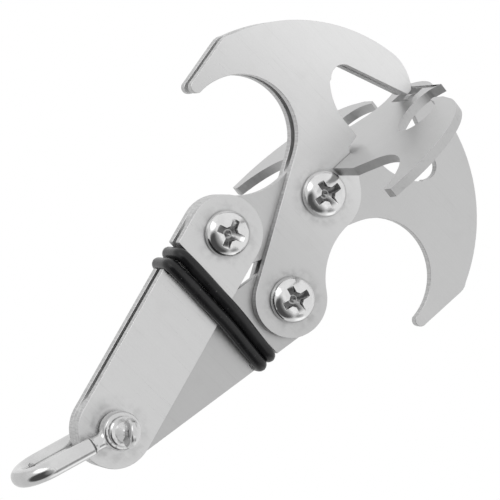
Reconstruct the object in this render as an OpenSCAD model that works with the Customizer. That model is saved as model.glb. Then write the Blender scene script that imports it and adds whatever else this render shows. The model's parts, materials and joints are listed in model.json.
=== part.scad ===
// Folding grapnel anchor: two claws on a kite linkage, a removable cross plate
// that turns them into a four-pronged grapnel, two rubber O-rings that hold the
// linkage shut, and a D shackle for the line.
//
// Millimetres. The origin lies under the centre pivot, on the mid-plane of the
// stack, level with the lowest point of the cross plate. +Z runs up to the
// shackle, -Y is the front (the side of the screw heads) and X runs across, with
// the outer hook of claw A on +X. "Left" in a piece's name means +X, which is on
// the left when seen from the rear. Places are taken from the centre pivot, and
// lift() raises every piece to its height.
// The flat pieces sit in three layers: the front and rear layers hold claw A and
// the left link, and the middle layer holds claw B and the right link.
// Endings of names: _r radius, _d diameter, _t thickness, _h height, _w width.

/* [Plates] */
// Thickness of every flat plate
plate_t = 2.5; // [2.4:0.05:2.6]
// Running gap between two neighbouring plates
layer_gap = 0.06; // [0.04:0.01:0.1]

/* [Linkage] */
// Centre pivot to the link pivot of a claw
claw_arm = 28.18; // [28:0.02:28.4]
// Link pivot of a claw to the shackle pin
link_len = 56.9; // [56.5:0.1:57.3]
// Half angle between the two claw arms when shut
claw_half_angle = 25.67; // [25.4:0.05:26]
// Half width of a link, and the round at a claw's upper end
end_r = 9.9; // [9.6:0.1:10]

/* [Claw] */
// Radius of the round back of a claw
back_r = 45.24; // [45:0.02:45.5]
// Radius of the seat inside the outer hook
seat_r = 15.4; // [15.2:0.05:15.6]
// Rounding at the point of the outer hook
hook_tip_r = 1.7; // [1.5:0.05:1.8]
// Round boss about the centre pivot
boss_r = 10.6; // [10.4:0.1:11]
// Extra radial play of the centre hole in claw B
centre_play = 0.8; // [0.7:0.05:1]

/* [Cross plate] */
// Lean of the seated cross plate, its top towards +X
seat_lean = 5.8; // [4:0.1:6]
// Outer radius of a cross hook
cross_back_r = 28.7; // [28.5:0.1:29]
// Radius inside a cross hook
cross_seat_r = 18.9; // [18.7:0.1:19.1]
// Half width of the slot that straddles the claws
fork_half = 4.05; // [4:0.05:4.2]

/* [Screws] */
// Nominal diameter of the pivot screws
screw_d = 6; // [5.9:0.05:6]
// Head diameter of the pivot screws
head_d = 12; // [11.5:0.1:12.4]
// Head height of the pivot screws
head_h = 3.5; // [3.2:0.1:3.8]
// Width across the flats of the nuts
nut_af = 10; // [9.8:0.1:10]
// Radial play of a screw or pin in its hole
pin_play = 0.06; // [0.04:0.01:0.09]

/* [Shackle] */
// Diameter of the bow's rod
rod_d = 4.6; // [4:0.1:4.7]
// Diameter of the pin
shackle_pin_d = 5; // [4.8:0.1:5]
// Centre of the pin to the outside of the bow's crown
bow_reach = 28.4; // [27:0.1:30]
// Lean of the bow towards +X in the drawn pose
bow_lean = 20; // [10:1:30]
// Clear width between the ears
jaw_w = 9.8; // [9.4:0.1:10.4]

/* [O-rings] */
// Section diameter of each ring
ring_d = 3.4; // [3.2:0.1:3.4]
// Height of the pair's middle above the centre pivot
ring_z = 40.4; // [40:0.1:41]
// Slope of the rings across the links, down towards +X
ring_skew = 2.5; // [0:0.5:3]

/* [Hidden] */
$fn = 96;

over = 1; // how far a cutter runs past a face
stack_half = 1.5 * plate_t + layer_gap;

// Front face of each layer
y_front = -stack_half;
y_mid = -plate_t / 2;
y_rear = plate_t / 2 + layer_gap;

// Pivots, as [x, z] from the centre pivot
centre_pivot = [0, 0];
left_pivot = claw_arm * [sin(claw_half_angle), cos(claw_half_angle)];
right_pivot = [-left_pivot[0], left_pivot[1]];
link_half_angle = asin(left_pivot[0] / link_len);
shackle_pivot = [0, left_pivot[1] + link_len * cos(link_half_angle)];
pivot_hole_r = screw_d / 2 + pin_play;
pin_hole_r = shackle_pin_d / 2 + pin_play;

// Own origin of the cross plate below the centre pivot, and its foot below that
cross_drop = 36;
foot_depth = 5.4;
base_z = cross_drop + foot_depth * cos(seat_lean) + plate_t / 2 * sin(seat_lean);

// ---------------------------------------------------------------- helpers
// Points at angle a about a centre, and along an arc between two angles
function polar(centre, r, a) = centre + r * [cos(a), sin(a)];
function arc(centre, r, from, to, step) =
    let (count = max(2, ceil(abs(to - from) / step)))
    [for (i = [0:count]) polar(centre, r, from + (to - from) * i / count)];
function angle_of(v) = atan2(v[1], v[0]);
// A smooth curve through the given points
function curve(points, steps = 6) = concat(
    [for (i = [0:len(points) - 2])
        let (start = points[i],
             end = points[i + 1],
             start_slope = (end - points[max(0, i - 1)]) / 2,
             end_slope = (points[min(len(points) - 1, i + 2)] - start) / 2)
        for (k = [0:steps - 1])
            let (t = k / steps)
            (2 * pow(t, 3) - 3 * pow(t, 2) + 1) * start
            + (pow(t, 3) - 2 * pow(t, 2) + t) * start_slope
            + (-2 * pow(t, 3) + 3 * pow(t, 2)) * end
            + (pow(t, 3) - pow(t, 2)) * end_slope],
    [points[len(points) - 1]]);
// The same points from last to first, with the first coordinate negated
function flip(points) = [for (i = [len(points) - 1:-1:0]) [-points[i][0], points[i][1]]];

module lift() { translate([0, 0, base_z]) children(); }
// Turns +Z to the front (-Y), starting from y at the point at = [x, z]
module face_front(y, at = [0, 0], spin = 0) {
    translate([at[0], y, at[1]]) rotate([90, spin, 0]) children();
}
// A plate of the given [x, z] outline, its front face at y
module plate(points, y) {
    face_front(y + plate_t) linear_extrude(plate_t) polygon(points);
}
// A round cutter through the plate whose front face is at y
module drill(at, r, y) {
    face_front(y + plate_t + over, at) cylinder(r = r, h = plate_t + 2 * over);
}

// ---------------------------------------------------------------- claws
back_centre = [4.06, 5.1];
seat_centre = [26.44, 4.65];
tip_overlap = 0.1; // how far the tip round reaches into the seat
tip_centre = [seat_centre[0] + seat_r + hook_tip_r - tip_overlap, 4.0];

// Waist: a hollow round that touches both the boss and the upper end
waist_r = 17.9;
arm_dir = right_pivot / norm(right_pivot);
waist_along = (pow(boss_r + waist_r, 2) - pow(end_r + waist_r, 2) + pow(claw_arm, 2))
    / (2 * claw_arm);
waist_aside = sqrt(pow(boss_r + waist_r, 2) - pow(waist_along, 2));
waist_centre = waist_along * arm_dir + waist_aside * [-arm_dir[1], arm_dir[0]];

// Straight neck edge, a common tangent of the seat and the upper end
neck_span = right_pivot - seat_centre;
neck_angle = angle_of(neck_span) + acos((seat_r + end_r) / norm(neck_span));

// Jaw: the lower part of the claw, with a lobe above its sloping top edge
below_boss = [[-1.2, -12.25], [1.8, -12.65], [3.15, -13.7], [3.6, -17.2]];
throat_centre = [7, -34.6];
throat_r = 17;
lobe_centre = [16.5, -25.4];
lobe_r = 3.35;
jaw_slope = 20.3;
jaw_in = polar(lobe_centre, lobe_r, jaw_slope - 90);
jaw_tip_x = 0.75;
jaw_tip = [[jaw_tip_x, jaw_in[1] - (jaw_in[0] - jaw_tip_x) * tan(jaw_slope)],
           [0.6, -35.3], [0.7, -36.4]];
jaw_centre = [9.5, -25.95];
jaw_r = 13.8;

// Blunt corner where the back meets the outer hook
corner = polar(back_centre, back_r, -19.3);
corner_steps = [[-0.15, -0.9], [0.02, 0.1], [-0.03, 1.0]];

// Outline of claw A as [x, z], anticlockwise from the hook tip. It follows only
// the chord of the seat, which is cut afterwards with a true cylinder.
claw_outline = concat(
    arc(tip_centre, hook_tip_r, -7, 180, 12),
    [polar(seat_centre, seat_r, neck_angle)],
    arc(right_pivot, end_r, neck_angle - 180, angle_of(waist_centre - right_pivot) + 360, 4),
    arc(waist_centre, waist_r, angle_of(right_pivot - waist_centre),
        angle_of(centre_pivot - waist_centre), 4),
    arc(centre_pivot, boss_r, angle_of(waist_centre), 236, 4),
    below_boss,
    arc(throat_centre, throat_r, 90, 47, 4),
    arc(lobe_centre, lobe_r, 50, jaw_slope - 90, 10),
    jaw_tip,
    arc(jaw_centre, jaw_r, -127, -92, 3),
    arc(back_centre, back_r, -82, -22, 2.5),
    [for (offset = corner_steps) corner + offset]);

module claw(y, centre_hole_r) {
    difference() {
        plate(claw_outline, y);
        drill(seat_centre, seat_r, y);
        drill(centre_pivot, centre_hole_r, y);
        drill(right_pivot, pivot_hole_r, y);
    }
}
module claw_a_front() { color([0.80, 0.80, 0.80]) lift() claw(y_front, pivot_hole_r); }
module claw_a_rear() { color([0.74, 0.74, 0.74]) lift() claw(y_rear, pivot_hole_r); }
module claw_b() {
    color([0.72, 0.72, 0.73]) lift() mirror([1, 0, 0]) claw(y_mid, screw_d / 2 + centre_play);
}

// ---------------------------------------------------------------- links
gap_x = 16.35; // floor of the O-ring gap, from the middle
gap_half_h = 3.72;
gap_cut = 10;

// A straight link from the shackle pin to a claw's pivot, with a shallow gap in
// its outer edge where both O-rings lie
module link(pivot, y) {
    slope = angle_of(shackle_pivot - pivot);
    difference() {
        plate(concat(arc(shackle_pivot, end_r, slope - 90, slope + 90, 4),
                     arc(pivot, end_r, slope + 90, slope + 270, 4)), y);
        drill(shackle_pivot, pin_hole_r, y);
        drill(pivot, pivot_hole_r, y);
        translate([0, y - over, ring_z]) rotate([0, ring_skew, 0])
            translate([pivot[0] > 0 ? gap_x : -gap_x - gap_cut, 0, -gap_half_h])
                cube([gap_cut, plate_t + 2 * over, 2 * gap_half_h]);
    }
}
module left_link_front() { color([0.78, 0.78, 0.78]) lift() link(left_pivot, y_front); }
module left_link_rear() { color([0.72, 0.72, 0.72]) lift() link(left_pivot, y_rear); }
module right_link() { color([0.70, 0.70, 0.71]) lift() link(right_pivot, y_mid); }

// ---------------------------------------------------------------- cross plate
cross_x = -1.67;
foot_r = 26;
cross_back_centre = [25.37, 30.97];
cross_seat_centre = [32, 43.5];
// Wavy edge from the foot out to the hook
cross_wave = [
    [14.75, -3.6], [11.5, -0.9], [10.4, 2.6], [11.3, 6.6], [13.8, 10.1], [16.6, 12.9],
    [20.0, 15.0], [24.0, 15.1], [27.1, 13.0], [28.0, 9.8], [26.5, 6.3], [23.4, 4.1],
    [18.9, 2.9]];
cross_hook_tip = [[53.55, 37.4], [50.5, 37.75]];
fork_top = 29.6;
fork_floor = 23.45;
// Rectangular window through the foot
window_w = 10.9;
window_h = 5.35;
window_z = -2.35;
window_cut = 10;

// The +Y half of the outline as [y, z] in the plate's own frame
cross_half = concat(
    [[0, -foot_depth]],
    arc([0, foot_r - foot_depth], foot_r, -83, -62, 5),
    curve(cross_wave),
    [[19.6, 1.9], [25, 1.85]],
    arc(cross_back_centre, cross_back_r, -77, 9, 4),
    cross_hook_tip,
    arc(cross_seat_centre, cross_seat_r, -19, -116, 4),
    [[17.4, 29.25], [16.7, fork_top], [fork_half, fork_top], [fork_half, fork_floor]]);

module cross_plate() {
    color([0.68, 0.68, 0.69]) lift()
    translate([cross_x, 0, -cross_drop]) rotate([0, seat_lean, 0])
        difference() {
            translate([-plate_t / 2, 0, 0]) rotate([90, 0, 90]) linear_extrude(plate_t)
                polygon(concat(cross_half, flip(cross_half)));
            translate([-window_cut / 2, -window_w / 2, window_z])
                cube([window_cut, window_w, window_h]);
        }
}

// ---------------------------------------------------------------- screws
seat_gap = 0.03; // stack to a screw head or washer
shank_len = 15.6;
shank_tip_h = 0.5;
rim_h = 0.85; // where the dome of the head starts
recess_depth = 2.9;
wing_w = 1.9;
wing_len = 10;
recess_core_w = 3.8;
recess_h = 4;

head_profile = concat(
    [[0, 0], [head_d / 2 - 0.35, 0], [head_d / 2 - 0.05, 0.35], [head_d / 2, 0.75]],
    [for (i = [1:9])
        let (t = 10 * i)
        [(head_d / 2 - 0.02) * pow(cos(t), 0.62), rim_h + (head_h - rim_h) * pow(sin(t), 1.05)]]);

// A box of the recess, centred on the screw's axis
module recess_box(x, y) {
    translate([-x / 2, -y / 2, 0]) cube([x, y, recess_h]);
}
// Four tapered wings with scalloped sides between them
module cross_recess() {
    intersection() {
        cylinder(r1 = 1.2, r2 = 4.5, h = 3.2);
        difference() {
            union() {
                recess_box(wing_len, wing_w);
                recess_box(wing_w, wing_len);
                rotate([0, 0, 45]) recess_box(recess_core_w, recess_core_w);
            }
            for (turn = [45:90:315])
                rotate([0, 0, turn]) translate([3.3, 0, -over]) cylinder(r = 1.38, h = 6);
        }
    }
}
// Pan head screw with a cross recess, turned by spin about its axis
module pan_screw(pivot, spin) {
    face_front(-stack_half - seat_gap, pivot, spin) difference() {
        union() {
            rotate_extrude() polygon(head_profile);
            translate([0, 0, -shank_len]) cylinder(d = screw_d, h = shank_len + 0.1);
            translate([0, 0, -shank_len - shank_tip_h])
                cylinder(d1 = screw_d - 1, d2 = screw_d, h = shank_tip_h);
        }
        translate([0, 0, head_h - recess_depth]) cross_recess();
        // pointed bottom of the recess
        translate([0, 0, head_h - recess_depth - 0.6]) cylinder(r1 = 0.05, r2 = 1.1, h = 0.7);
    }
}

washer_r = 6;
washer_h = 1.2;
module flat_washer(pivot) {
    face_front(stack_half + seat_gap + washer_h, pivot) difference() {
        cylinder(r = washer_r, h = washer_h);
        translate([0, 0, -over]) cylinder(r = screw_d / 2 + 0.2, h = 4);
    }
}

nut_gap = 0.04; // washer to nut
nut_y = stack_half + seat_gap + washer_h + nut_gap;
nut_h = 6;
nut_collar_h = 1.7; // round collar at the rear of the nut
nut_chamfer_h = 0.7;
nut_corner_r = nut_af / 2 / cos(30);
nut_face_r = nut_af / 2 - 0.25; // small end of each chamfer
insert_r = 3.9;

// Hexagon nut, built from its rear face forwards
module lock_nut(pivot, spin) {
    face_front(nut_y + nut_h, pivot, spin) difference() {
        union() {
            // hexagon with both faces chamfered
            intersection() {
                translate([0, 0, nut_collar_h])
                    cylinder(d = 2 * nut_corner_r, h = nut_h - nut_collar_h, $fn = 6);
                union() {
                    translate([0, 0, nut_h - nut_chamfer_h])
                        cylinder(r1 = nut_corner_r, r2 = nut_face_r, h = nut_chamfer_h);
                    translate([0, 0, nut_collar_h + nut_chamfer_h])
                        cylinder(r = nut_corner_r, h = nut_h - nut_collar_h - 2 * nut_chamfer_h);
                    translate([0, 0, nut_collar_h])
                        cylinder(r1 = nut_face_r, r2 = nut_corner_r, h = nut_chamfer_h);
                }
            }
            cylinder(r1 = 4.2, r2 = 4.6, h = nut_collar_h);
        }
        // bore, pocket for the insert, and the pocket's mouth
        translate([0, 0, -over]) cylinder(r = screw_d / 2 + 0.05, h = nut_h + 2 * over);
        translate([0, 0, 0.3]) cylinder(r = insert_r + 0.05, h = nut_collar_h - 0.3);
        translate([0, 0, -over]) cylinder(r = 3.6, h = 2);
    }
}
module nut_insert(pivot) {
    face_front(nut_y + nut_h - 0.35, pivot) difference() {
        cylinder(r = insert_r, h = 1.3);
        translate([0, 0, -over]) cylinder(r = screw_d / 2 + 0.03, h = 4);
    }
}

screw_colour = [0.85, 0.85, 0.86];
washer_colour = [0.75, 0.75, 0.76];
nut_colour = [0.78, 0.78, 0.79];
insert_colour = [0.88, 0.88, 0.84];
module centre_screw() { color(screw_colour) lift() pan_screw(centre_pivot, spin = 12); }
module left_screw() { color(screw_colour) lift() pan_screw(left_pivot, spin = -20); }
module right_screw() { color(screw_colour) lift() pan_screw(right_pivot, spin = 18); }
module centre_washer() { color(washer_colour) lift() flat_washer(centre_pivot); }
module left_washer() { color(washer_colour) lift() flat_washer(left_pivot); }
module right_washer() { color(washer_colour) lift() flat_washer(right_pivot); }
module centre_nut() { color(nut_colour) lift() lock_nut(centre_pivot, spin = 8); }
module left_nut() { color(nut_colour) lift() lock_nut(left_pivot, spin = 25); }
module right_nut() { color(nut_colour) lift() lock_nut(right_pivot, spin = -14); }
module centre_nut_insert() { color(insert_colour) lift() nut_insert(centre_pivot); }
module left_nut_insert() { color(insert_colour) lift() nut_insert(left_pivot); }
module right_nut_insert() { color(insert_colour) lift() nut_insert(right_pivot); }

// ---------------------------------------------------------------- shackle
shackle_colour = [0.86, 0.86, 0.87];
ear_r = 4.95;
ear_t = rod_d + 0.2;
leg_y = jaw_w / 2 + ear_t / 2;
leg_z = 8.3; // where the full rod starts
shoulder_h = 0.4;
crown_z = bow_reach - rod_d / 2 - leg_y;
neck_r = rod_d / 2 - 0.5;
// Half section of an ear with eased edges, as [radius, height]
ear_profile = [
    [0, 0], [ear_r - 0.7, 0], [ear_r - 0.2, 0.25], [ear_r, 0.8],
    [ear_r, ear_t - 0.8], [ear_r - 0.2, ear_t - 0.25], [ear_r - 0.7, ear_t], [0, ear_t]];

module shackle_bow() {
    color(shackle_colour) lift()
    translate([shackle_pivot[0], 0, shackle_pivot[1]]) rotate([0, bow_lean, 0]) {
        for (side = [-1, 1]) {
            // drilled ear, with the neck up to the rod
            difference() {
                union() {
                    face_front(side * leg_y + ear_t / 2) rotate_extrude() polygon(ear_profile);
                    translate([0, side * leg_y, 3]) cylinder(r = neck_r, h = 6);
                }
                face_front(side * leg_y + ear_t) cylinder(r = pin_hole_r, h = 2 * ear_t);
            }
            // shoulder and straight leg
            translate([0, side * leg_y, leg_z - shoulder_h])
                cylinder(r1 = neck_r, r2 = rod_d / 2 - 0.1, h = shoulder_h);
            translate([0, side * leg_y, leg_z]) cylinder(r = rod_d / 2, h = crown_z - leg_z);
        }
        // crown
        translate([0, 0, crown_z]) rotate([90, 0, 90]) rotate_extrude(angle = 180)
            translate([leg_y, 0]) circle(r = rod_d / 2, $fn = 48);
    }
}

pin_end = 0.3; // how far the pin stands out of the ears
collar_y = -jaw_w / 2 - ear_t - 0.05;
collar_profile = [[0, 0], [3.5, 0], [3.85, 0.3], [3.85, 1.2], [3.5, 1.5], [0, 1.5]];
disc_r = 3.7;
disc_half_t = 0.8;
disc_ease = 0.35;
disc_y = collar_y - 5.2;
disc_turn = 48;
disc_profile = [
    [0, -disc_half_t], [disc_r - disc_ease, -disc_half_t], [disc_r, -disc_half_t + disc_ease],
    [disc_r, disc_half_t - disc_ease], [disc_r - disc_ease, disc_half_t], [0, disc_half_t]];

// Pin with a collar and a flat thumb disc with a small hole
module shackle_pin() {
    color(shackle_colour) lift()
    translate([shackle_pivot[0], 0, shackle_pivot[1]]) {
        face_front(jaw_w / 2 + ear_t + pin_end)
            cylinder(d = shackle_pin_d, h = jaw_w + 2 * ear_t + 2 * pin_end);
        face_front(collar_y) rotate_extrude() polygon(collar_profile);
        // thumb disc, on a short neck
        difference() {
            union() {
                face_front(collar_y - 1.4) cylinder(r1 = 2.7, r2 = 1.1, h = 2.4);
                translate([0, disc_y, 0]) rotate([0, disc_turn, 0])
                    rotate_extrude() polygon(disc_profile);
            }
            translate([0, disc_y - 1.2, 0]) rotate([0, disc_turn, 0])
                translate([0, 0, -3]) cylinder(r = 0.9, h = 6);
        }
    }
}

// ---------------------------------------------------------------- O-rings
ring_colour = [0.07, 0.07, 0.07];
ring_play = 0.12; // clear of the links' edges and faces
ring_y = stack_half + ring_play + ring_d / 2;
ring_x = gap_x + ring_play + ring_d / 2;
bend_r = 1.9;
bend_x = ring_x - bend_r;
bend_y = ring_y - bend_r;
ring_offset = 1.8; // each ring from the pair's middle

// A stretched loop round both links
module o_ring(offset_z) {
    translate([0, 0, ring_z]) rotate([0, ring_skew, 0]) translate([0, 0, offset_z]) {
        for (side = [-1, 1]) {
            translate([-bend_x, side * ring_y, 0]) rotate([0, 90, 0])
                cylinder(d = ring_d, h = 2 * bend_x);
            translate([side * ring_x, bend_y, 0]) rotate([90, 0, 0])
                cylinder(d = ring_d, h = 2 * bend_y);
        }
        // bends, as [x side, y side, turn]
        for (bend = [[1, 1, 0], [-1, 1, 90], [-1, -1, 180], [1, -1, 270]])
            translate([bend[0] * bend_x, bend[1] * bend_y, 0]) rotate([0, 0, bend[2]])
                rotate_extrude(angle = 90) translate([bend_r, 0]) circle(d = ring_d, $fn = 48);
    }
}
module o_ring_upper() { color(ring_colour) lift() o_ring(ring_offset); }
module o_ring_lower() { color(ring_colour) lift() o_ring(-ring_offset); }

shackle_bow();
shackle_pin();
left_link_front();
left_link_rear();
right_link();
claw_a_front();
claw_a_rear();
claw_b();
cross_plate();
centre_screw();
centre_washer();
centre_nut();
centre_nut_insert();
left_screw();
left_washer();
left_nut();
left_nut_insert();
right_screw();
right_washer();
right_nut();
right_nut_insert();
o_ring_upper();
o_ring_lower();
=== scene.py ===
# A stainless tool: claw plates and links on three screws, hung from a shackle and
# held by two rubber O-rings. The plates lie parallel to XZ and are stacked along Y,
# with the front towards -Y. The screws run along Y, and the shackle is towards +Z.
import bpy
import json
import math
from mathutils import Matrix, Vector


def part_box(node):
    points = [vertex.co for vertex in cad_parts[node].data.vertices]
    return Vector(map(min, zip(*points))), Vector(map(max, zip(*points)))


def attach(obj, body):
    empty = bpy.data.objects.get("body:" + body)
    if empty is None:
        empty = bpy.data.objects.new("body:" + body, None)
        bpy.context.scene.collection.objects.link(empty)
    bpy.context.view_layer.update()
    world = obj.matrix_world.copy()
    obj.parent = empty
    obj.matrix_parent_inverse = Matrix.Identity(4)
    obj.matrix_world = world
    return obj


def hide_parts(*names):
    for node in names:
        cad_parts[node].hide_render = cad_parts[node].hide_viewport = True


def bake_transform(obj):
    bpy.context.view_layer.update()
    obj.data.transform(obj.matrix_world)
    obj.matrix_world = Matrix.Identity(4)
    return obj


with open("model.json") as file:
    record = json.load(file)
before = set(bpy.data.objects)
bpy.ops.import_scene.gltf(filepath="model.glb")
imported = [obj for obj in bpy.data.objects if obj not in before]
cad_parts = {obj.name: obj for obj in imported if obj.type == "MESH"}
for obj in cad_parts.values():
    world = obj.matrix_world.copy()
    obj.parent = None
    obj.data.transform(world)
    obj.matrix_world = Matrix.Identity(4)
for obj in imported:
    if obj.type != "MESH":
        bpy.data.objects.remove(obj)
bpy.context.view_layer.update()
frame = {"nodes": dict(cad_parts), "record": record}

NODES = frame["nodes"]
JOINTS = {j["name"]: j for j in frame["record"]["behaviour"]["joints"]}
MM = 0.001


def centre(node):
    lo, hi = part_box(node)
    return Vector([(a + b) / 2 for a, b in zip(lo, hi)])


P_SHACKLE = Vector(JOINTS["link_swing"]["pos_m"])
P_LEFT = Vector(JOINTS["claw_b_open"]["pos_m"])
P_RIGHT = Vector(JOINTS["claw_a_open"]["pos_m"])
P_CENTRE = centre("centre_washer")
BASE_Z = P_CENTRE.z
FRONT_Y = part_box("left_link_front")[0][1]         # front face of the stack
REAR_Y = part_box("left_link_rear")[1][1]           # rear face of the stack

# ------------------------------------------------------------------ camera
AZIMUTH = math.radians(16.41)
ELEVATION = math.radians(13.24)
ROLL = math.radians(-138.55)
CAM_TARGET = Vector((3.65 * MM, 0, 23.14 * MM + BASE_Z))
CAM_DISTANCE = 730.68 * MM
SENSOR_WIDTH = 36.0                               # both in millimetres
FOCAL_LENGTH = 206.58168

# the camera's own axes; back points from the target to the camera
back = Vector((math.sin(AZIMUTH) * math.cos(ELEVATION),
               -math.cos(AZIMUTH) * math.cos(ELEVATION),
               math.sin(ELEVATION)))
level_right = Vector((math.cos(AZIMUTH), math.sin(AZIMUTH), 0))
level_up = back.cross(level_right)
right = level_right * math.cos(ROLL) + level_up * math.sin(ROLL)
up = level_up * math.cos(ROLL) - level_right * math.sin(ROLL)


def add_camera():
    data = bpy.data.cameras.new("cam")
    data.sensor_width = SENSOR_WIDTH
    data.lens = FOCAL_LENGTH
    data.clip_start = 0.05
    data.clip_end = 60
    cam = bpy.data.objects.new("cam", data)
    scene = bpy.context.scene
    scene.collection.objects.link(cam)
    eye = CAM_TARGET + back * CAM_DISTANCE
    pose = cam.matrix_world.copy()
    for i in range(3):
        pose[i][0], pose[i][1], pose[i][2], pose[i][3] = right[i], up[i], back[i], eye[i]
    cam.matrix_world = pose
    scene.camera = cam
    scene.view_settings.view_transform = "Standard"


add_camera()


# ------------------------------------------------------------------ shader helpers
class Graph:
    """Short ways to add nodes to a tree. Each returns an output socket."""

    def __init__(self, tree):
        self.tree = tree
        tree.nodes.clear()

    def node(self, kind, **settings):
        node = self.tree.nodes.new(kind)
        for key, value in settings.items():
            setattr(node, key, value)
        return node

    def link(self, source, socket):
        self.tree.links.new(source, socket)

    def put(self, value, socket):
        """Links a socket, or sets a number or an RGB colour."""
        if isinstance(value, bpy.types.NodeSocket):
            self.link(value, socket)
        elif isinstance(value, tuple):
            socket.default_value = (*value, 1.0)
        else:
            socket.default_value = value

    def ramp(self, value, span=(0.3, 0.7), to=(0.0, 1.0)):
        """A smooth step that carries the two ends of span to the two values of to."""
        ramp = self.node("ShaderNodeMapRange", interpolation_type="SMOOTHSTEP")
        self.put(value, ramp.inputs["Value"])
        ramp.inputs["From Min"].default_value, ramp.inputs["From Max"].default_value = span
        ramp.inputs["To Min"].default_value, ramp.inputs["To Max"].default_value = to
        return ramp.outputs[0]

    def math(self, operation, *values):
        node = self.node("ShaderNodeMath", operation=operation)
        for value, socket in zip(values, node.inputs):
            self.put(value, socket)
        return node.outputs[0]

    def times(self, a, b):
        return self.math("MULTIPLY", a, b)

    def plus(self, a, b):
        return self.math("ADD", a, b)

    def minus(self, a, b):
        return self.math("SUBTRACT", a, b)

    def highest(self, a, b):
        return self.math("MAXIMUM", a, b)

    def vector_math(self, operation, vector, other):
        node = self.node("ShaderNodeVectorMath", operation=operation)
        self.link(vector, node.inputs[0])
        node.inputs[1].default_value = other
        return node.outputs

    def dot(self, vector, axis):
        return self.vector_math("DOT_PRODUCT", vector, axis)["Value"]


class Material(Graph):
    """A principled material. Texture lengths are in metres, in object coordinates."""

    def __init__(self, name, textured=True):
        self.material = bpy.data.materials.new(name)
        self.material.use_nodes = True
        super().__init__(self.material.node_tree)
        self.output = self.node("ShaderNodeOutputMaterial")
        self.surface = self.node("ShaderNodeBsdfPrincipled")
        self.link(self.surface.outputs[0], self.output.inputs[0])
        if textured:
            coords = self.node("ShaderNodeTexCoord").outputs
            self.place, self.normal = coords["Object"], coords["Normal"]
        self.bumped = None

    def math(self, operation, a, b=0.0, c=0.0):
        return super().math(operation, a, b, c)

    def mapped(self, source, **inputs):
        mapping = self.node("ShaderNodeMapping")
        for key, value in inputs.items():
            mapping.inputs[key.capitalize()].default_value = value
        self.link(source, mapping.inputs["Vector"])
        return mapping.outputs[0]

    def shifted(self, seed, direction):
        """Object coordinates moved along direction, so that like pieces differ."""
        return self.mapped(self.place, location=[seed * d for d in direction])

    def noise(self, vector, scale, detail=4.0, rough=0.55, distortion=0.0):
        noise = self.node("ShaderNodeTexNoise")
        noise.inputs["Scale"].default_value = scale
        noise.inputs["Detail"].default_value = detail
        noise.inputs["Roughness"].default_value = rough
        noise.inputs["Distortion"].default_value = distortion
        self.link(vector, noise.inputs["Vector"])
        return noise.outputs["Fac"]

    def mix(self, fac, low, high):
        """Colour mix: low where fac is 0, high where it is 1."""
        mix = self.node("ShaderNodeMix", data_type="RGBA")
        for value, i in ((fac, 0), (low, 6), (high, 7)):
            self.put(value, mix.inputs[i])
        return mix.outputs[2]

    def blend(self, fac, low, high):
        """The same for numbers."""
        mix = self.node("ShaderNodeMix", data_type="FLOAT")
        for value, i in ((fac, 0), (low, 2), (high, 3)):
            self.put(value, mix.inputs[i])
        return mix.outputs[0]

    def tint(self, color, mask, amount, to):
        return self.mix(self.times(mask, amount), color, to)

    def scaled(self, color, gain):
        node = self.node("ShaderNodeVectorMath", operation="SCALE")
        self.link(color, node.inputs[0])
        self.link(gain, node.inputs["Scale"])
        return node.outputs[0]

    def grime(self, color, reach, span, amount, to):
        """Painted shade: darkens the hollows, found by ambient occlusion over reach."""
        occlusion = self.node("ShaderNodeAmbientOcclusion")
        occlusion.samples = 8
        occlusion.inputs["Distance"].default_value = reach
        return self.mix(self.ramp(occlusion.outputs["AO"], span, to=(amount, 0.0)), color, to)

    def bump(self, height, distance, strength):
        """Adds relief on top of any earlier relief."""
        bump = self.node("ShaderNodeBump")
        bump.inputs["Strength"].default_value = strength
        bump.inputs["Distance"].default_value = distance
        self.link(height, bump.inputs["Height"])
        if self.bumped is not None:
            self.link(self.bumped, bump.inputs["Normal"])
        self.bumped = bump.outputs[0]

    def facing(self, axis):
        """1 where the surface looks along axis, either way."""
        return self.math("ABSOLUTE", self.dot(self.normal, axis))

    def radius(self, point):
        """Distance from the line through point along Y."""
        flat = self.vector_math("MULTIPLY", self.place, (1, 0, 1))[0]
        return self.vector_math("DISTANCE", flat, (point[0], 0, point[2]))["Value"]

    def xyz(self):
        separate = self.node("ShaderNodeSeparateXYZ")
        self.link(self.place, separate.inputs[0])
        return separate.outputs

    def done(self, color, rough, metallic=1.0, specular=None):
        self.put(color, self.surface.inputs["Base Color"])
        self.put(rough, self.surface.inputs["Roughness"])
        self.surface.inputs["Metallic"].default_value = metallic
        if specular is not None:
            self.surface.inputs["Specular IOR Level"].default_value = specular
        if self.bumped is not None:
            self.link(self.bumped, self.surface.inputs["Normal"])
        return self.material


def grey(value, warm=0.0):
    return (value * (1 + warm), value, value * (1 - warm))


# ------------------------------------------------------------------ plate steel
FACE_NORMAL = (0, 1, 0)
CROSS_LEAN = math.radians(5.8)
CROSS_NORMAL = (math.cos(CROSS_LEAN), 0, -math.sin(CROSS_LEAN))
PAINTED_SHADING_Z = (BASE_Z - 0.034, BASE_Z + 0.028)         # where the painted light and shade along Z starts and ends


def scuff_rings(m, pivots, cloud, vector):
    """Broken dull rings rubbed round the screws."""
    scuff = None
    for pivot in pivots:
        radius = m.radius(pivot)
        ring = m.times(m.ramp(radius, span=(0.0056, 0.0064)),
                       m.ramp(radius, span=(0.0096, 0.0068)))
        scuff = ring if scuff is None else m.highest(scuff, ring)
    if scuff is None:
        scuff = m.times(cloud, 0.0)
    patches = m.noise(vector, scale=420, detail=4, rough=0.6)
    return m.times(scuff, m.ramp(patches, span=(0.38, 0.66)))


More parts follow.
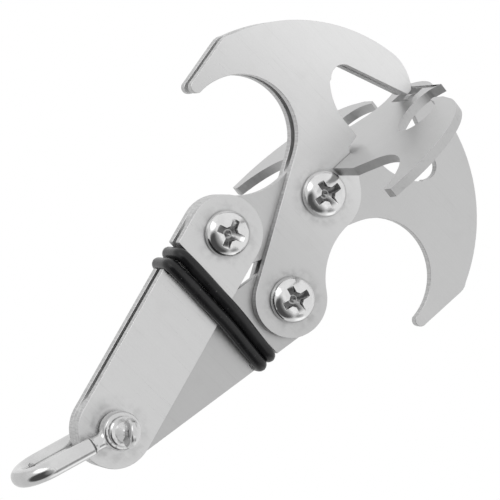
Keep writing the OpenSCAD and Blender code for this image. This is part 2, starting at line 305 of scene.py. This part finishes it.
def satin_plate(name, tone, angle, seed=0.0, normal=FACE_NORMAL, pivots=(), rough=0.34,
                grain=0.0, painted_shading=(1.0, 1.0), painted_light_patch=None):
    """Tumbled stainless sheet, with smoother rims painted brighter as a highlight, and walls
    striated by the cutting.

    normal: across the sheet. angle, grain: direction and extra strength of the rolled
    grain. fade: painted light and shade, as the brightness at the low and high ends of
    PAINTED_SHADING_Z. lift: a painted patch of light, as x, z, radius and gain.
    """
    m = Material(name + "_steel")
    v = m.shifted(seed, direction=(1.0, 0.7, 1.3))
    in_stack = normal == FACE_NORMAL

    face = m.ramp(m.facing(normal), span=(0.80, 0.97))    # 1 on the faces, 0 on the walls
    rim = m.times(m.ramp(m.facing(normal), span=(0.25, 0.55)),
                  m.ramp(m.facing(normal), span=(0.97, 0.85)))
    cloud = m.noise(v, scale=38, detail=3, rough=0.5)
    blotch = m.noise(v, scale=150, detail=5, rough=0.6)
    speck = m.noise(v, scale=2600, detail=3, rough=0.65)
    pits = m.noise(v, scale=900, detail=2, rough=0.4)

    def streak(turn, along, across, span):
        """Lines turned about Y; along and across are the noise scales."""
        lines = m.mapped(v, rotation=(0, turn, 0), scale=(along, 400, across))
        return m.ramp(m.noise(lines, scale=1.0, detail=2, rough=0.5, distortion=0.15), span)

    scratch_a = streak(math.radians(31), along=55, across=5200, span=(0.66, 0.74))
    scratch_b = streak(math.radians(-52), along=40, across=4300, span=(0.67, 0.75))
    scratch_c = streak(math.radians(84), along=70, across=6000, span=(0.68, 0.76))
    roll = streak(angle, along=18, across=2600, span=(0.30, 0.70))
    scuff = scuff_rings(m, pivots, cloud, v)

    # striations along the thickness of the cut walls
    cut_scale = (3200, 90, 3200) if in_stack else (90, 2600, 2600)
    cut = m.noise(m.mapped(v, scale=cut_scale), scale=1.0, detail=2, rough=0.5)
    burr = m.noise(v, scale=700, detail=3, rough=0.6)

    # face colour
    base = m.mix(m.ramp(cloud, span=(0.30, 0.72)),
                 low=grey(tone * 0.955), high=grey(tone * 1.03))
    base = m.tint(base, m.ramp(blotch, span=(0.50, 0.75)), amount=0.35,
                  to=grey(tone * 0.90, warm=0.004))
    base = m.tint(base, m.ramp(speck, span=(0.35, 0.70)), amount=0.22, to=grey(tone * 1.10))
    scratches = m.highest(scratch_a, m.highest(scratch_b, scratch_c))
    base = m.tint(base, scratches, amount=0.30, to=grey(tone * 0.80))
    base = m.tint(base, roll, amount=0.10 + grain, to=grey(tone * 0.88))
    base = m.tint(base, scuff, amount=0.40, to=grey(tone * 0.74))
    # painted light and shade: the plate is brighter or darker along Z
    base = m.scaled(base, m.ramp(m.xyz()[2], span=PAINTED_SHADING_Z, to=painted_shading))
    # a painted patch of light
    if painted_light_patch is not None:
        x, z, radius, gain = painted_light_patch
        base = m.scaled(base, m.ramp(m.radius((x, 0, z)), span=(radius, 0.0), to=(1.0, gain)))

    # wall colour, rims painted brighter as a highlight, and painted shade where pieces meet
    wall = m.mix(m.ramp(cut, span=(0.32, 0.68)),
                 low=grey(0.52), high=grey(0.68 if in_stack else 0.57))
    wall = m.tint(wall, m.ramp(burr, span=(0.52, 0.70)), amount=0.35, to=grey(0.42))
    color = m.mix(face, low=wall, high=base)
    # rims painted brighter: a painted highlight along the rounded edges, which are also smoother
    color = m.tint(color, rim, amount=0.55, to=grey(min(0.9, tone * 1.12)))
    # painted shade where pieces meet, found by ambient occlusion
    color = m.grime(color, reach=0.0018, span=(0.20, 0.88), amount=0.26, to=grey(0.20))

    shine = m.blend(m.ramp(cloud), low=rough - 0.035, high=rough + 0.045)
    shine = m.plus(shine, m.times(m.ramp(speck), 0.06))   # specks are rougher
    shine = m.plus(shine, m.times(scuff, 0.10))           # so are the scuffs
    shine = m.minus(shine, m.times(scratch_a, 0.06))      # scratches are smoother
    wall_shine = m.blend(m.ramp(cut), low=0.44, high=0.58)
    shine = m.blend(face, low=wall_shine, high=shine)
    shine = m.blend(m.times(rim, 0.7), low=shine, high=0.20)

    m.bump(speck, distance=0.000030, strength=0.55)
    m.bump(pits, distance=0.00006, strength=0.20)
    m.bump(roll, distance=0.000010, strength=0.25)
    m.bump(m.minus(1.0, m.highest(scratch_a, scratch_b)), distance=0.00002, strength=0.40)
    m.bump(m.times(m.minus(1.0, face), cut),
           distance=0.00007 if in_stack else 0.00001, strength=0.40)
    return m.done(color, shine)


# ------------------------------------------------------------------ bright steel
TURNING_PITCH = 0.22 * MM
THREAD_PITCH = 0.001


def head_hollow(m, color, shine, axis, head_y):
    """The pressed hollow in the screw head: dull, and darkened with painted shade.

    It starts below a domed surface that rises from the head's front at head_y.
    """
    radius = m.radius(axis)
    dome_start, dome_radius, dome_depth = 0.00012, 0.0036, 0.00029
    bulge = m.math("POWER", m.math("DIVIDE", radius, dome_radius), 2.0)
    dome = m.plus(head_y + dome_start, m.times(bulge, dome_depth))
    hollow_shade = m.times(m.ramp(m.minus(m.xyz()[1], dome), span=(0.0, 0.0012)),
                   m.ramp(radius, span=(0.0044, 0.0041)))
    # painted shade in the hollow
    color = m.tint(color, hollow_shade, amount=0.60, to=grey(0.13))
    return color, m.blend(hollow_shade, low=shine, high=0.19)


def screw_thread(m, color, axis):
    """A helical thread on the shank behind the stack, with painted shade in its grooves."""
    y = m.xyz()[1]
    radius = m.radius(axis)
    place = m.xyz()
    turn = m.math("ARCTAN2", m.minus(place[2], axis[2]), m.minus(place[0], axis[0]))
    wave = m.math("SINE", m.plus(m.times(y, 2 * math.pi / THREAD_PITCH), turn))
    shank = m.times(m.ramp(y, span=(REAR_Y, REAR_Y + 0.0003)),
                    m.ramp(radius, span=(0.0026, 0.0029)))
    m.bump(m.times(wave, shank), distance=0.00035, strength=1.0)
    # painted shade in the thread grooves
    groove_shade = m.times(shank, m.ramp(wave, span=(0.1, -0.8)))
    return m.tint(color, groove_shade, amount=0.7, to=grey(0.12))


def polished(name, tone, rough, seed, axis=None, grime_reach=0.0016, head_y=None):
    """Bright stainless: soft dents, hair scratches, painted shade in the hollows.

    axis: centre of the turned rings. head_y: front of a screw head; adds the hollow
    and the thread.
    """
    m = Material(name + "_steel")
    v = m.shifted(seed, direction=(1.0, 0.6, 1.7))
    cloud = m.noise(v, scale=210, detail=4, rough=0.55)
    fine = m.noise(v, scale=2400, detail=3, rough=0.6)
    lines = m.mapped(v, rotation=(0.3, 0.9, 0.4), scale=(120, 5200, 2600))
    hair = m.ramp(m.noise(lines, scale=1.0, detail=2, rough=0.5), span=(0.64, 0.74))

    color = m.mix(m.ramp(cloud), low=grey(tone * 0.93), high=grey(tone * 1.04))
    color = m.tint(color, m.ramp(fine, span=(0.5, 0.8)), amount=0.25, to=grey(tone * 0.84))
    color = m.tint(color, hair, amount=0.35, to=grey(tone * 0.75))
    # painted shade in the hollows and where pieces meet, found by ambient occlusion
    color = m.grime(color, reach=grime_reach, span=(0.15, 0.80), amount=0.70, to=grey(0.07))
    shine = m.plus(m.blend(m.ramp(cloud), low=rough - 0.03, high=rough + 0.05),
                   m.times(hair, 0.10))                   # scratches are rougher
    m.bump(cloud, distance=0.00012, strength=0.22)
    m.bump(fine, distance=0.00002, strength=0.35)
    if axis is not None:
        rings = m.math("SINE", m.times(m.radius(axis), 2 * math.pi / TURNING_PITCH))
        m.bump(rings, distance=0.000006, strength=0.25)
    if head_y is not None:
        color, shine = head_hollow(m, color, shine, axis, head_y)
        color = screw_thread(m, color, axis)
    return m.done(color, shine)


# ------------------------------------------------------------------ rubber and nylon
def rubber(name):
    """Black rubber with dust and lint."""
    m = Material(name)
    cloud = m.noise(m.place, scale=170, detail=4, rough=0.55)
    fine = m.noise(m.place, scale=1900, detail=4, rough=0.6)
    dust = m.ramp(m.noise(m.place, scale=620, detail=3, rough=0.7), span=(0.665, 0.72))
    lint = m.ramp(m.noise(m.place, scale=1300, detail=2, rough=0.5), span=(0.71, 0.76))
    color = m.mix(m.ramp(cloud), low=(0.008, 0.008, 0.009), high=(0.016, 0.016, 0.017))
    color = m.tint(color, dust, amount=0.30, to=(0.10, 0.10, 0.105))
    color = m.tint(color, lint, amount=0.50, to=(0.26, 0.26, 0.26))
    shine = m.plus(m.blend(m.ramp(cloud), low=0.22, high=0.36),
                   m.times(dust, 0.2))                    # dust is rougher
    m.bump(fine, distance=0.00004, strength=0.5)
    m.bump(cloud, distance=0.00015, strength=0.35)
    return m.done(color, shine, metallic=0.0, specular=0.34)


def nylon(name):
    """Off-white nylon of the nut inserts."""
    m = Material(name)
    cloud = m.noise(m.place, scale=260, detail=4, rough=0.55)
    fine = m.noise(m.place, scale=2200, detail=3, rough=0.6)
    color = m.mix(m.ramp(cloud), low=(0.70, 0.70, 0.64), high=(0.80, 0.80, 0.76))
    # painted shade in the hollows, found by ambient occlusion
    color = m.grime(color, reach=0.001, span=(0.2, 0.8), amount=0.6, to=(0.25, 0.24, 0.20))
    m.bump(fine, distance=0.00003, strength=0.5)
    return m.done(color, m.blend(cloud, low=0.42, high=0.60), metallic=0.0)


# ------------------------------------------------------------------ looks of the CAD nodes
CLAW_A_PIVOTS = (P_CENTRE, P_RIGHT)
LEFT_LINK = dict(pivots=(P_LEFT, P_SHACKLE), angle=1.37, rough=0.33, grain=0.03)
# The plates are all one steel: their different tones are painted light and shade, as are the
# fades and claw A's lift.
PLATE_LOOKS = {
    "claw_a_front": dict(tone=0.74, pivots=CLAW_A_PIVOTS, angle=0.6, painted_shading=(1.12, 0.78),
                         painted_light_patch=(0.0095, 0.0365, 0.019, 1.16)),
    "claw_a_rear": dict(tone=0.74, pivots=CLAW_A_PIVOTS, angle=0.6, seed=0.31,
                        painted_shading=(1.08, 0.76)),
    "claw_b": dict(tone=0.62, pivots=(P_CENTRE, P_LEFT), angle=-0.6, seed=0.57,
                   painted_shading=(0.95, 0.96)),
    "cross_plate": dict(tone=0.57, normal=CROSS_NORMAL, angle=0.2, seed=0.83),
    "left_link_front": dict(tone=0.67, seed=1.19, **LEFT_LINK),
    "left_link_rear": dict(tone=0.66, seed=1.43, **LEFT_LINK),
    "right_link": dict(tone=0.525, pivots=(P_RIGHT, P_SHACKLE), angle=-1.37, rough=0.35,
                       seed=1.77, grain=0.03),
}
MATERIALS = {name: satin_plate(name, **look) for name, look in PLATE_LOOKS.items()}


def add_polished(name, **look):
    MATERIALS[name] = polished(name, **look)


for i, (side, pivot) in enumerate((("centre", P_CENTRE), ("left", P_LEFT), ("right", P_RIGHT))):
    add_polished(side + "_screw", tone=0.74, rough=0.13, seed=0.2 * i, axis=pivot,
                 head_y=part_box(side + "_screw")[0][1])
    add_polished(side + "_washer", tone=0.66, rough=0.24, seed=0.3 + 0.2 * i, axis=pivot)
    add_polished(side + "_nut", tone=0.66, rough=0.20, seed=0.9 + 0.2 * i)
    MATERIALS[side + "_nut_insert"] = nylon(side + "_insert_nylon")
add_polished("shackle_bow", tone=0.66, rough=0.14, seed=2.1, grime_reach=0.001)
add_polished("shackle_pin", tone=0.64, rough=0.15, seed=2.6, grime_reach=0.001)
RUBBER = rubber("ring_rubber")


def ease(o, width, angle=32.0, segments=2, dissolve=False):
    """Welds the skin, merges its flat facets if asked, and rounds its sharp edges."""
    for poly in o.data.polygons:
        poly.use_smooth = True
    weld = o.modifiers.new("weld", "WELD")
    weld.merge_threshold = 2e-6
    if dissolve:
        flats = o.modifiers.new("flats", "DECIMATE")
        flats.decimate_type = "DISSOLVE"
        flats.angle_limit = math.radians(0.4)
    rim = o.modifiers.new("rim", "BEVEL")
    rim.width = width
    rim.segments = segments
    rim.limit_method = "ANGLE"
    rim.angle_limit = math.radians(angle)
    rim.use_clamp_overlap = True
    rim.harden_normals = False
    normals = o.modifiers.new("normals", "WEIGHTED_NORMAL")
    normals.weight = 70
    normals.keep_sharp = True


PLATE_EDGE = dict(width=0.00017, dissolve=True)
EDGES = {     # by the end of the node's name; anything else is a plate
    "_screw": dict(width=0.00009, angle=40),
    "_nut": dict(width=0.00012, angle=28),
    "_washer": dict(width=0.00016, angle=40),
    "_insert": dict(width=0.00012, angle=40),
    "_pin": dict(width=0.00014, angle=40, segments=3),
    "_bow": dict(width=0.00010, angle=40, segments=3),
}
for name, o in NODES.items():
    if name in MATERIALS:
        o.data.materials.clear()
        o.data.materials.append(MATERIALS[name])
        ease(o, **next((edge for end, edge in EDGES.items() if name.endswith(end)), PLATE_EDGE))


# ------------------------------------------------------------------ mesh helpers
def mesh_object(name, verts, faces, material, smooth=True):
    mesh = bpy.data.meshes.new(name)
    mesh.from_pydata(verts, [], faces)
    mesh.validate()
    mesh.update()
    for poly in mesh.polygons:
        poly.use_smooth = smooth
    mesh.materials.append(material)
    o = bpy.data.objects.new(name, mesh)
    bpy.context.scene.collection.objects.link(o)
    return o


def leaned(x, y, z, lean, origin):
    """A local point turned about Y, +Z towards +X, then moved by the origin's x and z."""
    return (x * math.cos(lean) + z * math.sin(lean) + origin[0], y,
            -x * math.sin(lean) + z * math.cos(lean) + origin[2])


# ------------------------------------------------------------------ O-rings
RING_Z = BASE_Z + 40.4 * MM
RING_SKEW = math.radians(2.5)
RING_R = 1.74 * MM                                # radius of the rubber section
RING_PITCH = 1.78 * MM                            # each ring's height off RING_Z
RING_SIDES = 28
RING_STEPS_PER_MM = 3.2
RING_REACH = 18 * MM                              # about half the ring's length in X
RING_GAP = 0.02 * MM
RING_EDGE_X = 16.42 * MM
RING_BEND_X = -1.1 * MM                           # where the band starts to narrow
RING_NARROW_Y = 1.27 * MM                         # half width of its -X end
RING_CORNERS = [                                  # x, y, anticlockwise from +Z
    (RING_EDGE_X, FRONT_Y - RING_GAP), (RING_EDGE_X, REAR_Y + RING_GAP),
    (RING_BEND_X, REAR_Y + RING_GAP), (-RING_EDGE_X, RING_NARROW_Y),
    (-RING_EDGE_X, -RING_NARROW_Y), (RING_BEND_X, FRONT_Y - RING_GAP)]


def even_steps(points):
    """The closed line through points, divided into equal steps."""
    closed = points + [points[0]]
    total, lengths = 0.0, [0.0]
    for p, q in zip(closed, closed[1:]):
        total += math.dist(p, q)
        lengths.append(total)
    count = int(total / MM * RING_STEPS_PER_MM)
    out, j = [], 0
    for i in range(count):
        along = total * i / count
        while lengths[j + 1] < along:
            j += 1
        part = (along - lengths[j]) / max(1e-12, lengths[j + 1] - lengths[j])
        p, q = closed[j], closed[j + 1]
        out.append((p[0] + (q[0] - p[0]) * part, p[1] + (q[1] - p[1]) * part))
    return out


def hull_path(corners, radius):
    """Centre line of a band of half thickness radius stretched round a convex polygon."""
    points = []
    for i, here in enumerate(corners):
        before, after = corners[i - 1], corners[(i + 1) % len(corners)]
        start = math.atan2(here[1] - before[1], here[0] - before[0]) - math.pi / 2
        end = math.atan2(after[1] - here[1], after[0] - here[0]) - math.pi / 2
        while end < start:
            end += 2 * math.pi
        steps = max(2, int((end - start) / math.radians(6)))
        for j in range(steps + 1):
            turn = start + (end - start) * j / steps
            points.append((here[0] + radius * math.cos(turn), here[1] + radius * math.sin(turn)))
    out = even_steps(points)
    count = len(out)
    for _ in range(5):   # rubber doesn't take a sharp corner
        out = [((out[i - 1][0] + 2 * out[i][0] + out[(i + 1) % count][0]) / 4,
                (out[i - 1][1] + 2 * out[i][1] + out[(i + 1) % count][1]) / 4)
               for i in range(count)]
    return out


def o_ring(name, height, slump, node):
    """One ring at height above RING_Z; slump lifts its +X end, in millimetres."""
    path = hull_path(RING_CORNERS, RING_R)
    n, k = len(path), RING_SIDES
    verts, faces = [], []
    for i, (x, y) in enumerate(path):
        before, after = path[i - 1], path[(i + 1) % n]
        step_x, step_y = after[0] - before[0], after[1] - before[1]
        step = math.hypot(step_x, step_y)
        out_x, out_y = step_y / step, -step_x / step
        round_ring = i / n * 2 * math.pi
        # the section gives a little at the +X end, and the band wanders slightly
        squeeze = max(0.0, x / RING_REACH) ** 6
        section = RING_R * (1 - 0.05 * squeeze + 0.012 * math.sin(3 * round_ring + height * 900))
        middle_z = (height + slump * (x / RING_REACH) * MM
                    + 0.10 * MM * math.sin(2 * round_ring + 0.7)
                    + 0.05 * MM * math.sin(5 * round_ring))
        for j in range(k):
            a = 2 * math.pi * j / k
            # flash line left by the mould at the outer middle
            off_middle = a if a < math.pi else a - 2 * math.pi
            r = section + 0.035 * MM * math.exp(-(off_middle / 0.07) ** 2)
            verts.append(leaned(x + out_x * r * math.cos(a), y + out_y * r * math.cos(a),
                                middle_z + 0.985 * r * math.sin(a),
                                RING_SKEW, (0, 0, RING_Z)))
    for i in range(n):
        here, there = i * k, (i + 1) % n * k
        for j in range(k):
            j2 = (j + 1) % k
            faces.append((there + j, there + j2, here + j2, here + j))
    o = mesh_object(name, verts, faces, RUBBER)
    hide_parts(node)
    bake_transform(o)


o_ring("o_ring_upper_band", RING_PITCH, 0.18, "o_ring_upper")
o_ring("o_ring_lower_band", -RING_PITCH, -0.10, "o_ring_lower")

# ------------------------------------------------------------------ shackle necks
BOW_LEAN = math.radians(20)
BOW_LO, BOW_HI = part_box("shackle_bow")
LEG_Y = (BOW_HI[1] - BOW_LO[1]) / 2 - 2.40 * MM
NECK_ROWS, NECK_SIDES = 26, 40
NECK_START, NECK_LENGTH = 2.9, 4.95               # millimetres, as are the next two lines
EAR_HALF_X, EAR_HALF_Y = 4.05, 2.28
ROD_R, NECK_FLARE = 1.86, 0.30


def neck(name, side):
    """The taper between a shackle ear and the round rod, lofted from a flat oval to a circle."""
    verts, faces = [], []
    for i in range(NECK_ROWS + 1):
        t = i / NECK_ROWS
        z = (NECK_START + NECK_LENGTH * t) * MM
        roundness = math.sin(math.pi / 2 * min(1.0, t / 0.62)) ** 1.15
        flare = NECK_FLARE * max(0.0, (t - 0.80) / 0.20) ** 2
        half_x = (EAR_HALF_X * (1 - roundness) + ROD_R * roundness + flare) * MM
        half_y = (EAR_HALF_Y * (1 - roundness) + ROD_R * roundness + flare) * MM
        power = 2 + 0.9 * (1 - roundness)         # superellipse exponent
        for j in range(NECK_SIDES):
            a = 2 * math.pi * j / NECK_SIDES
            c, s = math.cos(a), math.sin(a)
            r = (abs(c) ** power + abs(s) ** power) ** (-1 / power)
            verts.append(leaned(half_x * r * c, half_y * r * s + side * LEG_Y, z,
                                BOW_LEAN, P_SHACKLE))
    k = NECK_SIDES
    for i in range(NECK_ROWS):
        for j in range(k):
            a, b = i * k + j, i * k + (j + 1) % k
            faces.append((a, b, b + k, a + k))
    faces.append(tuple(reversed(range(k))))
    faces.append(tuple(range(NECK_ROWS * k, NECK_ROWS * k + k)))
    o = mesh_object(name, verts, faces, MATERIALS["shackle_bow"])
    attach(o, "shackle")


neck("shackle_neck_front", -1)
neck("shackle_neck_rear", 1)

# ------------------------------------------------------------------ floor
FLOOR_Z = -0.16
FLOOR_HALF = 8
FLOOR_GLOW = 0.88                                 # share of glow seen by other rays
FLOOR_GLOW_EXTRA = 0.12                           # added for the camera


def floor_material():
    """White floor: pure glow to the camera, mostly glow to everything else."""
    m = Material("floor", textured=False)
    rays = m.node("ShaderNodeLightPath")
    glow = m.node("ShaderNodeEmission")
    glow.inputs["Color"].default_value = (1, 1, 1, 1)
    glow.inputs["Strength"].default_value = 1.0
    mixer = m.node("ShaderNodeMixShader")
    share = m.math("MULTIPLY_ADD", rays.outputs["Is Camera Ray"], FLOOR_GLOW_EXTRA, FLOOR_GLOW)
    m.link(share, mixer.inputs[0])
    m.link(m.surface.outputs[0], mixer.inputs[1])
    m.link(glow.outputs[0], mixer.inputs[2])
    m.link(mixer.outputs[0], m.output.inputs[0])
    m.surface.inputs["Base Color"].default_value = (0.86, 0.86, 0.86, 1)
    m.surface.inputs["Roughness"].default_value = 0.9
    return m.material


floor_corners = [(x * FLOOR_HALF, y * FLOOR_HALF, FLOOR_Z)
                 for x, y in ((-1, -1), (1, -1), (1, 1), (-1, 1))]
mesh_object("floor", floor_corners, [(0, 1, 2, 3)], floor_material(), smooth=False)

# ------------------------------------------------------------------ studio light
AMBIENT = 0.98
DARKEST = 0.03
DIM_ALWAYS, DIM_EARLY = 0.35, 0.65                # dimming on all rays, and more on early ones
EARLY_DEPTH = 2.5
# bright and dark areas: operation, direction, cosines where it starts and is full, amount
LOBES = (
    ("ADD", up * 0.60 - right * 0.42 + back * 0.68, (0.84, 0.95), 1.5),
    ("ADD", right * 0.70 - up * 0.70 - back * 0.2, (0.84, 0.97), 0.6),
    ("ADD", right * 0.20 + up * 0.75 + back * 0.62, (0.93, 0.98), 0.6),
    ("SUBTRACT", right * 0.82 - up * 0.52 + back * 0.26, (0.89, 0.96), 0.80),
)


def light_world():
    world = bpy.data.worlds.new("studio")
    bpy.context.scene.world = world
    world.use_nodes = True
    g = Graph(world.node_tree)
    output = g.node("ShaderNodeOutputWorld")
    background = g.node("ShaderNodeBackground")
    coords = g.node("ShaderNodeTexCoord")
    g.link(background.outputs[0], output.inputs[0])

    def lobe(direction, span, amount):
        aim = g.dot(coords.outputs["Generated"], direction.normalized())
        return g.ramp(aim, span, to=(0.0, amount))

    # a glow where the plates' faces mirror the camera's view
    mirror = Vector((-back.x, back.y, -back.z))
    level = g.plus(AMBIENT, lobe(mirror, span=(0.60, 0.97), amount=0.56))
    # a dark area below the camera's view, strongest on early rays
    dim = lobe(-up * 0.60 - right * 0.17 + back * 0.78, span=(0.66, 0.83), amount=0.87)
    rays = g.node("ShaderNodeLightPath").outputs
    early = g.math("LESS_THAN", rays["Ray Depth"], EARLY_DEPTH)
    level = g.minus(level, g.times(dim, g.plus(DIM_ALWAYS, g.times(early, DIM_EARLY))))
    for operation, direction, span, amount in LOBES:
        level = g.math(operation, level, lobe(direction, span, amount))
    level = g.highest(level, DARKEST)
    # the camera itself sees plain white
    camera_ray = rays["Is Camera Ray"]
    level = g.plus(g.times(level, g.minus(1.0, camera_ray)), camera_ray)
    g.link(level, background.inputs["Strength"])


light_world()
